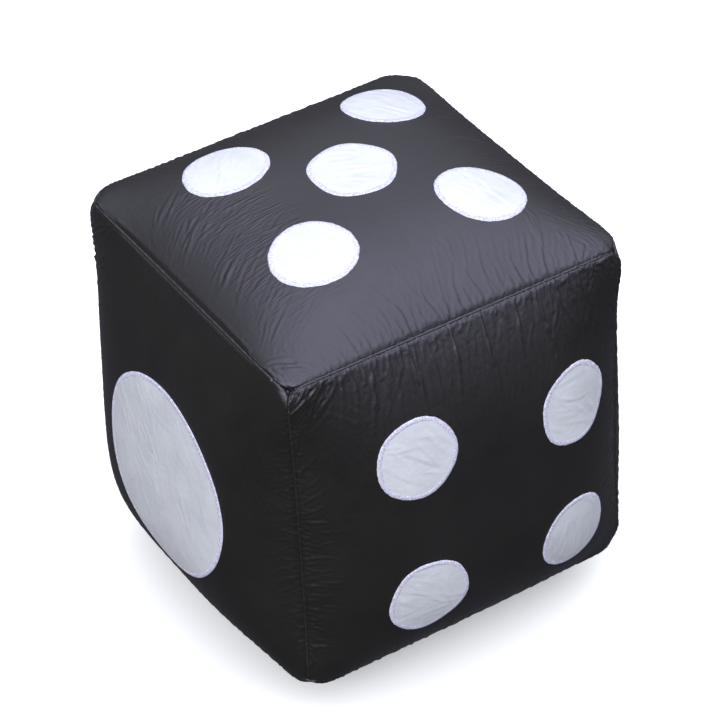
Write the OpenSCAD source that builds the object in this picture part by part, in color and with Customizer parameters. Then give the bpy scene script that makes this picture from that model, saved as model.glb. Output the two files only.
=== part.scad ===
// Giant inflatable yard die: a sewn nylon cover with stitched-on pips over a PVC bladder.
// The frame's origin is at the bottom centre, on the surface the die rests on, with +Z up.
// The four is on -Y, the three on +Y, the one on -X, the six on +X, the five on top and the two below.

/* [Cover] */
// Side of a square cover panel, seam to seam
panel_side = 508; // [420:4:560]
// How far the middle of a side panel swells past its seams
side_swell = 50; // [30:1:56]
// How far the middle of the top and bottom panels swells past their seams
end_swell = 54; // [34:1:60]
// How far the die's own weight flattens the bottom panel
floor_press = 5; // [3:0.5:9]
// Power of the panel's swelling curve: higher is flatter in the middle
swell_power = 3.4; // [2.4:0.1:4.5]
// How much of that swelling sinks from a side panel's upper half to its lower half
side_sag = 0.45; // [0:0.05:0.5]
// How far a level seam bows inwards at its middle
edge_bow = 9; // [4:0.5:12]
// How far an upright seam bows inwards at its middle
upright_bow = 16; // [8:0.5:18]
// How far a corner is pulled in along each axis
corner_pull = 16; // [8:1:22]
// Modelled thickness of the cover cloth
cloth_t = 0.8; // [0.6:0.1:1.2]

/* [Pips] */
// Radius of an ordinary pip
pip_r = 53.5; // [45:0.5:58]
// Radius of the single big pip
big_pip_r = 136; // [100:1:145]
// Distance of a corner pip from the panel's middle, along each side
pip_offset = 117; // [95:1:125]
// Distance of the six's columns from the panel's middle
six_column = 98; // [70:1:110]
// Distance between the rows of the six
six_row = 142; // [125:1:150]
// Width of the satin stitch round a pip
stitch_w = 7; // [5:0.5:10]

/* [Seams] */
// Radius of the sewn ridge along a seam
seam_r = 1.6; // [1:0.1:2.2]

/* [Zipper] */
// Length of the zipper's chain, centred on the +X +Y edge
zip_len = 300; // [240:5:320]
// Width of the closed chain
chain_w = 8; // [7:0.5:9]
// Thickness of the chain
chain_t = 2.6; // [2:0.1:3]
// Half width of the slot between the two panels
slot_half = 9; // [8.5:0.5:10]
// Length of the pull tab below its pin
tab_len = 30; // [20:1:34]

/* [Bladder] */
// Size of the bladder against the cover
bladder_scale = 0.96; // [0.95:0.005:0.965]
// Modelled thickness of the bladder's film
film_t = 1; // [0.8:0.1:1.5]
// How far the valve's flat bay stands back from the seam line at the zipper
bay_depth = 38; // [34:1:44]

/* [Hidden] */
half = panel_side / 2;
centre_z = half + end_swell - floor_press;
corner_power = 9;
cell_count = 14;
bladder_cells = 10;
pip_sides = 20;
big_pip_sides = 36;
pip_lift = 0.6;
pip_depth = 0.4;
stitch_lift = 1;
seam_steps = 14;
seam_reach = 0.92;
fit = 0.3;

// Heights along the zipper's outward direction, from the seam line at the middle of its edge
seam_line = sqrt(2) * (half - upright_bow);
tape_out = -2.2;
tape_t = 0.8;
tape_drop = 4;
chain_out = tape_out + chain_t;
chain_gap = 1.2;
coil_corner_r = 0.6;
slider_len = 18;
slider_w = 14;
web_len = 5;
plate_t = 1.6;
plate_corner_r = 4;
plate_out = chain_out + fit + plate_t;
under_out = tape_out - tape_t - fit;
stop_len = 5;
pin_height = chain_out + 6;
pin_r = 0.8;
tab_t = 1.6;
tab_w = 9;
tab_corner_r = 3;
tab_hole_r = 2;
eye_r = 1.7;
pin_play = 0.08;
ear_r = 2;
ear_t = 1.6;
ear_gap = 5.6;
rest_z = centre_z + zip_len / 2 - stop_len - 1 - slider_len / 2;

// Valve, along the same outward direction
flange_r = 22;
flange_t = 1;
stem_r = 8;
bore_r = 6;
stem_len = 20;
cap_r = 10;
cap_t = 2.4;
plug_r = 5.3;
plug_len = 4;
flap_r = 9;
flap_t = 0.8;
film_gap = 0.2;
hinge_x = 3 - flange_r;
strap_t = 1;
strap_w = 6;

// The shape of an end face and of a side face: its swelling, its sag and the bow of its s = 1 edges
END_SHAPE = [end_swell, 0, edge_bow];
SIDE_SHAPE = [side_swell, side_sag, upright_bow];

// Each face: its number in words, the turn that brings +Z to it and its shape
FACES = [
    ["five", [0, 0, 0], END_SHAPE],
    ["two", [180, 0, 0], END_SHAPE],
    ["four", [90, 0, 0], SIDE_SHAPE],
    ["six", [90, 0, 90], SIDE_SHAPE],
    ["three", [90, 0, 180], SIDE_SHAPE],
    ["one", [90, 0, -90], SIDE_SHAPE]
];

// Each pip's place in its face's even pattern
function spots(word) =
    word == "one" ? [[0, 0]] :
    word == "two" ? [[-1, 1], [1, -1]] * pip_offset :
    word == "three" ? [[-1, 1], [0, 0], [1, -1]] * pip_offset :
    word == "four" ? [[-1, 1], [1, 1], [-1, -1], [1, -1]] * pip_offset :
    word == "five" ? [[-1, 1], [1, 1], [0, 0], [-1, -1], [1, -1]] * pip_offset :
    [for (row = [1, 0, -1]) for (side = [-1, 1]) [side * six_column, row * six_row]];

// How far each pip is sewn from that place
function nudges(word) =
    word == "one" ? [[12, -20]] :
    word == "four" ? [[21, -17], [27, -44], [21, 1], [17, -11]] :
    word == "five" ? [[9, 3], [22, 16], [17, 15], [5, 20], [11, 8]] :
    [for (spot = spots(word)) [0, 0]];

function places(word) = spots(word) + nudges(word);
function pip_name(word, i) = len(spots(word)) == 1 ? str("pip_", word) : str("pip_", word, "_", i + 1);
function radius_of(word) = word == "one" ? big_pip_r : pip_r;
function sides_of(word) = word == "one" ? big_pip_sides : pip_sides;

// Each seam: its name, and the turn that brings the +X +Z edge to it
SEAMS = [
    ["seam_top_right", [0, 0, 0]],
    ["seam_top_left", [0, 0, 180]],
    ["seam_top_back", [0, 0, 90]],
    ["seam_top_front", [0, 0, -90]],
    ["seam_bottom_right", [180, 0, 0]],
    ["seam_bottom_left", [180, 0, 180]],
    ["seam_bottom_back", [180, 0, 90]],
    ["seam_bottom_front", [180, 0, -90]],
    ["seam_back_left", [90, 0, 180]],
    ["seam_front_left", [90, 0, -90]],
    ["seam_front_right", [90, 0, 0]],
    ["seam_back_right", [90, 0, 90]]
];

// The cover's surface over one face: s and t run from -1 to 1 across it, and its middle is along +Z
function swelling(a) = 1 - pow(abs(a), swell_power);
function bow(a, depth) = depth * (1 - pow(a, 4));
function pull(s, t) = corner_pull * pow(abs(s * t), corner_power);
function cover_point(s, t, shape) =
    let (swell = shape[0] * (1 - shape[1] * t) * swelling(s) * swelling(t))
    let (bow_s = bow(t, shape[2]))
    let (bow_t = bow(s, edge_bow))
    [
        half * s - bow_s * pow(s, 3) - pull(s, t) * sign(s),
        half * t - bow_t * pow(t, 3) - pull(s, t) * sign(t),
        half + swell - bow_s * pow(s, 4) - bow_t * pow(t, 4) - pull(s, t)
    ];
// The bottom's surface can't pass the floor
function rested(p, floor_level) = [p[0], p[1], min(p[2], floor_level)];
function floor_of(word) = word == "two" ? centre_z : half + 2 * end_swell;

// Grid lines lie closer together towards the seams
function grid_line(i, count) = let (u = 2 * i / count - 1) u * (1.25 - 0.25 * u * u);
function grid_points(f, count, size) = [
    for (i = [0:count]) for (j = [0:count])
        size * rested(cover_point(grid_line(i, count), grid_line(j, count), f[2]), floor_of(f[0]))
];
function grid_faces(count, first, flip) = [
    for (i = [0:count - 1]) for (j = [0:count - 1]) for (half_cell = [0, 1])
        let (a = first + i * (count + 1) + j)
        let (b = a + count + 1)
        let (face = half_cell == 0 ? [a, a + 1, b + 1] : [a, b + 1, b])
        flip ? [face[2], face[1], face[0]] : face
];
// The grid's border points in order, seen from outside
function border(count) = let (row = count + 1) concat(
    [for (i = [0:count - 1]) i * row],
    [for (j = [0:count - 1]) count * row + j],
    [for (i = [count:-1:1]) i * row + count],
    [for (j = [count:-1:1]) j]
);

// A ring of walls joins the outer border, b, to the inner one, which starts at point first
function wall_faces(b, first) = [
    for (i = [0:len(b) - 1]) for (half_cell = [0, 1])
        let (p = b[i])
        let (q = b[(i + 1) % len(b)])
        half_cell == 0 ? [p, q, first + q] : [p, first + q, first + p]
];

// A panel's outer face is the cover's surface, and its inner face is the same surface scaled down
module panel_shell(f) {
    inner = (half - cloth_t) / half;
    total = (cell_count + 1) * (cell_count + 1);
    polyhedron(
        points = concat(
            grid_points(f, cell_count, 1),
            grid_points(f, cell_count, inner)
        ),
        faces = concat(
            grid_faces(cell_count, 0, false),
            grid_faces(cell_count, total, true),
            wall_faces(border(cell_count), total)
        )
    );
}

module on_face(f) {
    translate([0, 0, centre_z]) rotate(f[1]) children();
}

// Things at the zipper's edge: x runs across, y along the edge upwards and z outwards from the seam line
module at_zipper(z = centre_z) {
    translate([0, 0, z]) rotate([90, 0, 135]) translate([0, 0, seam_line]) children();
}

module zipper_slot() {
    at_zipper() cube([2 * slot_half, zip_len, 30], center = true);
}

module panel(f) {
    color([0.1, 0.1, 0.12])
    if (f[0] == "six" || f[0] == "three") {
        difference() {
            on_face(f) panel_shell(f);
            zipper_slot();
        }
    } else {
        on_face(f) panel_shell(f);
    }
}

// A round patch on a face: rings of points from its middle outwards, lifted off the surface
function lifted(f, x, y, lift) = rested(
    (half + lift) / half * cover_point(x / half, y / half, f[2]),
    floor_of(f[0]) + min(lift, 0)
);
function disc_points(f, spot, r, rings, sides, lift) = concat(
    [lifted(f, spot[0], spot[1], lift)],
    [for (j = [1:rings]) for (i = [0:sides - 1])
        lifted(f, spot[0] + r * j / rings * cos(360 * i / sides),
            spot[1] + r * j / rings * sin(360 * i / sides), lift)]
);
function disc_faces(rings, sides, first, flip) = [
    for (face = concat(
        [for (i = [0:sides - 1]) [0, 1 + (i + 1) % sides, 1 + i]],
        [for (j = [1:1:rings - 1]) for (i = [0:sides - 1]) for (half_cell = [0, 1])
            let (a = 1 + (j - 1) * sides + i)
            let (b = 1 + (j - 1) * sides + (i + 1) % sides)
            half_cell == 0 ? [a, b, b + sides] : [a, b + sides, a + sides]]
    )) flip ?
        [first + face[2], first + face[1], first + face[0]] :
        [first + face[0], first + face[1], first + face[2]]
];

module pip(f, spot) {
    sides = sides_of(f[0]);
    r = radius_of(f[0]);
    rings = f[0] == "one" ? 4 : 2;
    total = 1 + rings * sides;
    rim = [for (i = [0:sides - 1]) 1 + (rings - 1) * sides + i];
    color([0.93, 0.93, 0.96])
    on_face(f) polyhedron(
        points = concat(
            disc_points(f, spot, r, rings, sides, pip_lift),
            disc_points(f, spot, r, rings, sides, -pip_depth)
        ),
        faces = concat(
            disc_faces(rings, sides, 0, false),
            disc_faces(rings, sides, total, true),
            wall_faces(rim, total)
        )
    );
}

// The satin stitch is a flat ring that straddles the pip's rim
module stitch_ring(f, spot) {
    sides = sides_of(f[0]);
    r = radius_of(f[0]);
    reach = stitch_w / 2;
    profile = [[-reach, stitch_lift], [reach, stitch_lift], [reach, -pip_depth], [-reach, -pip_depth]];
    on_face(f) polyhedron(
        points = [for (i = [0:sides - 1]) for (p = profile)
            lifted(f, spot[0] + (r + p[0]) * cos(360 * i / sides),
                spot[1] + (r + p[0]) * sin(360 * i / sides), p[1])],
        faces = [for (i = [0:sides - 1]) for (k = [0:3]) for (half_cell = [0, 1])
            let (a = 4 * i + k)
            let (b = 4 * i + (k + 1) % 4)
            let (turn = 4 * ((i + 1) % sides - i))
            half_cell == 0 ? [a, b, b + turn] : [a, b + turn, a + turn]]
    );
}

module stitching(f) {
    color([0.8, 0.79, 0.87])
    for (place = places(f[0])) stitch_ring(f, place);
}

// A seam's ridge is a six-sided tube along the line where two panels meet
module seam_ridge(from, to, depth) {
    sides = 6;
    rings = [for (i = [0:seam_steps]) cover_point(1, from + (to - from) * i / seam_steps, [0, 0, depth])];
    polyhedron(
        points = [for (p = rings) for (k = [0:sides - 1])
            p + seam_r * [cos(60 * k), 0, sin(60 * k)]],
        faces = concat(
            [[for (k = [0:sides - 1]) k]],
            [[for (k = [sides - 1:-1:0]) seam_steps * sides + k]],
            [for (i = [0:seam_steps - 1]) for (k = [0:sides - 1]) for (half_cell = [0, 1])
                let (a = i * sides + k)
                let (b = i * sides + (k + 1) % sides)
                half_cell == 0 ? [a, b + sides, b] : [a, a + sides, b + sides]]
        )
    );
}

module seam(s) {
    depth = s[1][0] == 90 ? upright_bow : edge_bow;
    color([0.07, 0.07, 0.08])
    translate([0, 0, centre_z]) rotate(s[1])
    if (s[0] == "seam_back_right") {
        end = (zip_len / 2 + 1) / half;
        seam_ridge(-seam_reach, -end, depth);
        seam_ridge(end, seam_reach, depth);
    } else {
        seam_ridge(-seam_reach, seam_reach, depth);
    }
}

// A tape lies flat beside the chain and bends in under the panel
module zipper_tape(side) {
    color([0.08, 0.08, 0.09])
    at_zipper() rotate([90, 0, 0]) linear_extrude(height = zip_len - 1, center = true)
    polygon([
        [side * chain_gap / 2, tape_out],
        [side * slot_half, tape_out],
        [side * 2 * slot_half, tape_out - tape_drop],
        [side * 2 * slot_half, tape_out - tape_drop - tape_t],
        [side * slot_half, tape_out - tape_t],
        [side * chain_gap / 2, tape_out - tape_t]
    ]);
}

// A rectangle with rounded corners
module rounded_bar(w, h, r) {
    union() {
        square([w - 2 * r, h], center = true);
        square([w, h - 2 * r], center = true);
        for (x = [-1, 1]) for (y = [-1, 1])
            translate([x * (w / 2 - r), y * (h / 2 - r)]) circle(r = r, $fn = 48);
    }
}

// Half of the closed chain, as a bar with rounded corners
module zipper_coil(side) {
    coil_w = (chain_w - chain_gap) / 2;
    chain_len = zip_len - 2 * stop_len - 2;
    color([0.05, 0.05, 0.06])
    at_zipper() rotate([90, 0, 0]) linear_extrude(height = chain_len, center = true)
    translate([side * (chain_gap / 2 + coil_w / 2), (tape_out + chain_out) / 2])
    rounded_bar(coil_w, chain_t, coil_corner_r);
}

// A metal clip at each end of the chain
module zipper_stops() {
    color([0.5, 0.5, 0.52])
    for (end = [-1, 1]) at_zipper()
        translate([0, end * (zip_len - stop_len) / 2, (tape_out + chain_out) / 2])
        cube([chain_w + 1, stop_len - 1, chain_t + 0.4], center = true);
}

// Two plates, one over and one under the tapes, joined by a thin web between the coils
module zipper_slider() {
    wall_t = (slider_w - chain_w - 2 * fit) / 2;
    web_top = plate_out - plate_t / 2;
    web_low = under_out - plate_t / 2;
    color([0.55, 0.55, 0.57])
    at_zipper(rest_z) union() {
        translate([0, 0, plate_out - plate_t / 2]) slider_plate();
        translate([0, 0, under_out - plate_t / 2]) slider_plate();
        for (side = [-1, 1])
            translate([side * (slider_w - wall_t) / 2, 0, (plate_out + tape_out + fit) / 2])
            cube([wall_t, slider_len - 6, plate_out - tape_out - fit], center = true);
        translate([0, slider_len / 2 - web_len, (web_top + web_low) / 2])
            cube([chain_gap - 2 * fit, web_len, web_top - web_low], center = true);
        for (side = [-1, 1])
            translate([side * (ear_gap + ear_t) / 2, 0, 0]) slider_ear();
        translate([0, 0, pin_height]) rotate([0, 90, 0])
            cylinder(r = pin_r, h = ear_gap + 2 * ear_t, center = true, $fn = 32);
    }
}

module slider_plate() {
    linear_extrude(height = plate_t, center = true) rounded_bar(slider_w, slider_len, plate_corner_r);
}

// An ear holds one end of the pull's pin
module slider_ear() {
    foot = plate_out - plate_t / 2;
    rotate([90, 0, 90]) linear_extrude(height = ear_t, center = true)
    union() {
        translate([0, pin_height]) circle(r = ear_r, $fn = 32);
        translate([-ear_r, foot]) square([2 * ear_r, pin_height - foot]);
    }
}

// The pull hangs from its pin by a round eye
module zipper_pull() {
    color([0.5, 0.5, 0.52])
    at_zipper(rest_z) translate([0, 0, pin_height]) difference() {
        union() {
            rotate([0, 90, 0]) cylinder(r = eye_r, h = ear_gap - 2 * fit, center = true, $fn = 48);
            translate([0, -5, 0]) cube([ear_gap - 2 * fit, 10, tab_t], center = true);
            translate([0, -tab_len + 10, 0]) pull_blade();
        }
        rotate([0, 90, 0]) cylinder(r = pin_r + pin_play, h = ear_gap + 2, center = true, $fn = 32);
        translate([0, -tab_len + tab_hole_r + 2.5, 0])
            cylinder(r = tab_hole_r, h = tab_t + 2, center = true, $fn = 32);
    }
}

module pull_blade() {
    linear_extrude(height = tab_t, center = true) rounded_bar(tab_w, tab_len - 7, tab_corner_r);
}

// The whole of a cover-like surface as one closed solid
module puffed_block(size) {
    steps = bladder_cells;
    per_face = (steps + 1) * (steps + 1);
    polyhedron(
        points = [for (f = FACES) for (p = grid_points(f, steps, size)) turned(p, f[1])],
        faces = [for (k = [0:5]) for (face = grid_faces(steps, k * per_face, false)) face]
    );
}

// A point turned as a face is turned: about X, then about Z, in right angles
function turned(p, angles) =
    let (q = angles[0] == 90 ? [p[0], -p[2], p[1]] : angles[0] == 180 ? [p[0], -p[1], -p[2]] : p)
    angles[2] == 90 ? [-q[1], q[0], q[2]] :
    angles[2] == 180 ? [-q[0], -q[1], q[2]] :
    angles[2] == -90 ? [q[1], -q[0], q[2]] : q;

// Everything outside the valve's flat bay
module bay_cut(depth) {
    at_zipper() translate([0, 0, 60 - depth]) cube([300, 2 * panel_side, 120], center = true);
}

module bladder() {
    color([0.75, 0.8, 0.85])
    difference() {
        translate([0, 0, centre_z]) puffed_block(bladder_scale);
        bay_cut(bay_depth);
        difference() {
            translate([0, 0, centre_z]) puffed_block(bladder_scale - film_t / half);
            bay_cut(bay_depth + film_t);
        }
        at_valve() cylinder(r = stem_r + film_gap, h = 10, center = true, $fn = 64);
    }
}

// Things at the valve: z is outwards from the bladder's film
module at_valve() {
    at_zipper() translate([0, 0, -bay_depth]) children();
}

// The flange is welded flat on the film round the stem
module valve_flange() {
    color([0.85, 0.87, 0.9])
    at_valve() difference() {
        cylinder(r = flange_r, h = flange_t, $fn = 96);
        translate([0, 0, -1]) cylinder(r = stem_r, h = flange_t + 2, $fn = 64);
    }
}

// The stem is a soft tube, pushed in until its mouth is level with the flange
module valve_stem() {
    color([0.85, 0.87, 0.9])
    at_valve() translate([0, 0, flange_t - stem_len]) difference() {
        cylinder(r = stem_r, h = stem_len, $fn = 64);
        translate([0, 0, -1]) cylinder(r = bore_r, h = stem_len + 2, $fn = 64);
    }
}

// The cap lies on the flange and its plug fills the stem's mouth
module valve_cap() {
    color([0.85, 0.87, 0.9])
    at_valve() translate([0, 0, flange_t + film_gap]) union() {
        cylinder(r = cap_r, h = cap_t, $fn = 64);
        translate([0, 0, -plug_len]) cylinder(r = plug_r, h = plug_len + 1, $fn = 64);
    }
}

// The strap joins the cap to the flange's rim, and the bead at its root is its living hinge
module valve_hinge_strap() {
    color([0.85, 0.87, 0.9])
    at_valve() translate([hinge_x, 0, flange_t + film_gap + strap_t / 2]) union() {
        translate([0, -strap_w / 2, -strap_t / 2]) cube([flange_r - cap_r - 2, strap_w, strap_t]);
        rotate([90, 0, 0]) cylinder(r = strap_t / 2, h = strap_w, center = true, $fn = 32);
    }
}

// The check flap closes the inner end of the stem and bends at the bead on its rim
module valve_flap() {
    color([0.85, 0.87, 0.9])
    at_valve() translate([0, 0, flange_t - stem_len - film_gap - flap_t / 2]) union() {
        cylinder(r = flap_r, h = flap_t, center = true, $fn = 64);
        translate([-flap_r, 0, 0]) rotate([90, 0, 0])
            cylinder(r = flap_t / 2, h = flap_r, center = true, $fn = 32);
    }
}

for (f = FACES) panel(f);
for (f = FACES) for (i = [0:len(spots(f[0])) - 1])
    pip(f, places(f[0])[i]);
for (f = FACES) stitching(f);
for (s = SEAMS) seam(s);
zipper_tape(-1);  // zipper_tape_left
zipper_tape(1);  // zipper_tape_right
zipper_coil(-1);  // zipper_coil_left
zipper_coil(1);  // zipper_coil_right
zipper_stops();
zipper_slider();
zipper_pull();
bladder();
valve_flange();
valve_stem();
valve_cap();
valve_hinge_strap();
valve_flap();
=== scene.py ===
"""Giant inflatable yard die: wrinkled nylon cover, stitched pips, seams, zipper and bladder."""
import math

import bpy
import numpy as np
from mathutils import Matrix, Vector


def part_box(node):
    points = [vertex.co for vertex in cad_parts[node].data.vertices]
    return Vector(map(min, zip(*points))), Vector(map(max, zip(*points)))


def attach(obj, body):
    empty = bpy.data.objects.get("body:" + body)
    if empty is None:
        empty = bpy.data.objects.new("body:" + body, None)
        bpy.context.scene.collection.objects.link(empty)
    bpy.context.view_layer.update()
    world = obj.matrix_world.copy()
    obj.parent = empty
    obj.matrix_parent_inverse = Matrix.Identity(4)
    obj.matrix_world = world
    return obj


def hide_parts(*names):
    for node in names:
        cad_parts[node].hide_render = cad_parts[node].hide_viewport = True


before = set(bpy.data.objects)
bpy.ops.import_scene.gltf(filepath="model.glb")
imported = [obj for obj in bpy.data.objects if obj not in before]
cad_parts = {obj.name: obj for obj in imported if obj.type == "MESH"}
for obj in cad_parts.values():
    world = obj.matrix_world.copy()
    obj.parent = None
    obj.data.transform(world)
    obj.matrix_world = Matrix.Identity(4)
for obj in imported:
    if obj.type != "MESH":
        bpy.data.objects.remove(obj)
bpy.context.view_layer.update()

# ---------------------------------------------------------------- driving dimensions, metres

HALF = 0.254             # half a cover panel, seam to seam
SIDE_SWELL = 0.050       # how far a side panel swells past its seams
END_SWELL = 0.054        # the same for the top and bottom panels
SIDE_SAG = 0.45          # how much of a side panel's swelling sinks to its lower half
SWELL_POWER = 3.4        # how flat the middle of a face is
EDGE_BOW = 0.009         # how far a level seam bows inwards at its middle
UPRIGHT_BOW = 0.016      # the same for an upright seam
CORNER_PULL = 0.016      # how far each corner is drawn in
CORNER_POWER = 9
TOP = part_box("panel_five")[1][2]
CENTRE_Z = TOP - HALF - END_SWELL
PIP_R = 0.0535
BIG_PIP_R = 0.136
STITCH_W = 0.007
SEAM_R = 0.0016
SLOT_HALF = 0.009        # from the zipper's middle to a panel's edge beside it
ZIP_LEN = 0.3
COIL_PITCH = 0.0022
TAPE_PITCH = 0.0012
SEED = 5

# Each face: its outward axis and the two axes across it
FACES = {
    "five": ((0, 0, 1), (1, 0, 0), (0, 1, 0)),
    "two": ((0, 0, -1), (1, 0, 0), (0, -1, 0)),
    "four": ((0, -1, 0), (1, 0, 0), (0, 0, 1)),
    "six": ((1, 0, 0), (0, 1, 0), (0, 0, 1)),
    "three": ((0, 1, 0), (-1, 0, 0), (0, 0, 1)),
    "one": ((-1, 0, 0), (0, -1, 0), (0, 0, 1)),
}
FACE_NAMES = list(FACES)


# ---------------------------------------------------------------- camera and light

PHOTO_W = 719
REACH = 12               # half the floor's side and the wall's radius, metres
WALL_HEIGHT = 10
WALL_SIDES = 48
SKY_LEAN = math.radians(12)      # how far the sky's brightest point is from straight overhead
SKY_FRONT = (0.4, -0.92)         # the way it leans
# The sky's brightness, from straight below the die (0) to its brightest point (1)
SKY = ((0.0, 0.05), (0.49, 0.06), (0.53, 0.22), (0.62, 0.32), (0.70, 0.47),
       (0.76, 0.86), (0.80, 1.10), (0.87, 1.75), (1.0, 2.10))


def camera():
    """The photograph's viewing angle: azimuth, elevation and roll in degrees, distance and aim in metres."""
    azimuth, elevation, roll = math.radians(-30.6), math.radians(38.65), math.radians(-3.17)
    distance, focal_px = 4.10, 3140
    aim = Vector((0.007, 0.007, CENTRE_Z + 0.0121))
    back = Vector((math.sin(azimuth) * math.cos(elevation), -math.cos(azimuth) * math.cos(elevation),
                   math.sin(elevation)))
    right = Vector((0, 0, 1)).cross(back).normalized()
    up = back.cross(right)
    rolled_right = math.cos(roll) * right + math.sin(roll) * up
    rolled_up = -math.sin(roll) * right + math.cos(roll) * up
    data = bpy.data.cameras.new("camera")
    data.sensor_fit = "HORIZONTAL"
    data.sensor_width = 36
    data.lens = focal_px / PHOTO_W * data.sensor_width
    data.clip_end = 50
    eye = bpy.data.objects.new("camera", data)
    bpy.context.scene.collection.objects.link(eye)
    place = Matrix((rolled_right, rolled_up, back)).transposed().to_4x4()
    place.translation = aim + back * distance
    eye.matrix_world = place
    bpy.context.scene.camera = eye


def area_light(name, place, aim, size, energy):
    data = bpy.data.lights.new(name, "AREA")
    data.size = size
    data.energy = energy
    lamp = bpy.data.objects.new(name, data)
    bpy.context.scene.collection.objects.link(lamp)
    lamp.location = place
    lamp.rotation_euler = (Vector(aim) - Vector(place)).to_track_quat("-Z", "Y").to_euler()


def backdrop(name, points, quads, grey_level, glow):
    """A pale surface behind the die that only the camera sees."""
    mesh = bpy.data.meshes.new(name)
    mesh.from_pydata(points, [], quads)
    made = bpy.data.objects.new(name, mesh)
    bpy.context.scene.collection.objects.link(made)
    made.visible_diffuse = False
    made.visible_glossy = False
    made.visible_shadow = False
    paint = bpy.data.materials.new(name)
    paint.use_nodes = True
    shader = paint.node_tree.nodes["Principled BSDF"]
    shader.inputs["Base Color"].default_value = (grey_level, grey_level, grey_level, 1)
    shader.inputs["Roughness"].default_value = 0.9
    shader.inputs["Specular IOR Level"].default_value = 0.0
    shader.inputs["Emission Color"].default_value = (1, 1, 1, 1)
    shader.inputs["Emission Strength"].default_value = glow
    mesh.materials.append(paint)


def set_stops(ramp, stops):
    """Gives a color ramp node its stops, from the first to the last."""
    elements = ramp.color_ramp.elements
    elements[0].position, elements[0].color = stops[0]
    elements[1].position, elements[1].color = stops[-1]
    for position, color in stops[1:-1]:
        elements.new(position).color = color


def sky(scene):
    """Cool grey light from all round, brightest overhead and in front."""
    world = bpy.data.worlds.new("studio")
    scene.world = world
    world.use_nodes = True
    tree = world.node_tree
    where = tree.nodes.new("ShaderNodeTexCoord")
    height = tree.nodes.new("ShaderNodeVectorMath")
    height.operation = "DOT_PRODUCT"
    x, y = SKY_FRONT
    height.inputs[1].default_value = (x * math.sin(SKY_LEAN), y * math.sin(SKY_LEAN), math.cos(SKY_LEAN))
    share = tree.nodes.new("ShaderNodeMath")
    share.operation = "MULTIPLY_ADD"
    share.inputs[1].default_value = 0.5
    share.inputs[2].default_value = 0.5
    ramp = tree.nodes.new("ShaderNodeValToRGB")
    set_stops(ramp, [(position, (level, level * 1.03, level * 1.12, 1)) for position, level in SKY])
    tree.links.new(where.outputs["Generated"], height.inputs[0])
    tree.links.new(height.outputs["Value"], share.inputs[0])
    tree.links.new(share.outputs[0], ramp.inputs[0])
    tree.links.new(ramp.outputs[0], tree.nodes["Background"].inputs["Color"])


def studio():
    """The sky, a soft key light, and a pale floor with a pale wall round it."""
    scene = bpy.context.scene
    scene.view_settings.view_transform = "Standard"
    sky(scene)
    area_light("front", (-2.3, -1.5, 1.4), (0, 0, 0.3), 1.6, 36)
    corners = [(-REACH, -REACH, 0), (REACH, -REACH, 0), (REACH, REACH, 0), (-REACH, REACH, 0)]
    backdrop("floor", corners, [(0, 1, 2, 3)], 0.95, 0.22)
    turns = [2 * math.pi * k / WALL_SIDES for k in range(WALL_SIDES)]
    ring = [(REACH * math.cos(a), REACH * math.sin(a), z) for z in (-0.01, WALL_HEIGHT) for a in turns]
    after = [*range(1, WALL_SIDES), 0]
    quads = [(a, b, WALL_SIDES + b, WALL_SIDES + a) for a, b in enumerate(after)]
    backdrop("wall", ring, quads, 0.0, 1.0)


# ---------------------------------------------------------------- materials

WAVE_SCALE = 2 * math.pi / 20    # a wave texture's scale for one band in a metre
WEAVE_PITCH = 0.0006
WEAVE_DEPTH = 0.00008
STRAND_PITCH = 0.00055
# The nylon's fine lines: the channel of "pucker" that says how strong they are, how many noise cells
# there are in a metre along each direction of the cloth, and their turn in degrees
FINE_LINES = ((0, (210, 26, 1), 0), (1, (26, 210, 1), 0), (2, (24, 150, 1), -37))


class Shader:
    """A short way to write a node material."""

    def __init__(self, name, **sockets):
        self.material = bpy.data.materials.new(name)
        self.material.use_nodes = True
        self.tree = self.material.node_tree
        self.main = self.tree.nodes["Principled BSDF"]
        for key, value in sockets.items():
            self.main.inputs[key.replace("_", " ")].default_value = value

    def node(self, kind, values=(), **settings):
        made = self.tree.nodes.new("ShaderNode" + kind)
        for key, value in settings.items():
            setattr(made, key, value)
        for key, value in dict(values).items():
            if hasattr(value, "is_output"):
                self.tree.links.new(value, made.inputs[key])
            else:
                made.inputs[key].default_value = value
        return made

    def attribute(self, name):
        return self.node("Attribute", attribute_name=name).outputs["Vector"]

    def math(self, operation, *values):
        return self.node("Math", dict(enumerate(values)), operation=operation).outputs[0]

    def noise(self, where, scale, detail=3.0, roughness=0.55):
        return self.node("TexNoise", {"Vector": where, "Scale": scale, "Detail": detail,
                                      "Roughness": roughness}).outputs["Fac"]

    def turned(self, where, scale, degrees=0):
        """The same coordinates turned about their third axis and scaled."""
        turn = (0, 0, math.radians(degrees))
        return self.node("Mapping", {"Vector": where, "Rotation": turn, "Scale": scale}).outputs[0]

    def ramp(self, value, *stops):
        made = self.node("ValToRGB", {"Fac": value})
        set_stops(made, stops)
        return made.outputs[0]

    def bump(self, height, distance, strength=1.0, below=None):
        values = {"Height": height, "Distance": distance, "Strength": strength}
        if below is not None:
            values["Normal"] = below
        return self.node("Bump", values).outputs[0]

    def drive(self, socket, value):
        self.tree.links.new(value, self.main.inputs[socket])

    def woven(self, where, strength, below):
        """A normal with the over and under threads of a plain weave on top of the one below."""
        split = self.node("SeparateXYZ", {0: where})
        turns = 2 * math.pi / WEAVE_PITCH
        across = self.math("SINE", self.math("MULTIPLY", split.outputs[0], turns))
        along = self.math("SINE", self.math("MULTIPLY", split.outputs[1], turns))
        height = self.math("MULTIPLY_ADD", self.math("MULTIPLY", across, along), 0.5, 0.5)
        return self.bump(height, WEAVE_DEPTH, strength, below)


def grey(level, warm=0.0):
    return (level + warm, level, level - warm, 1)


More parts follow.
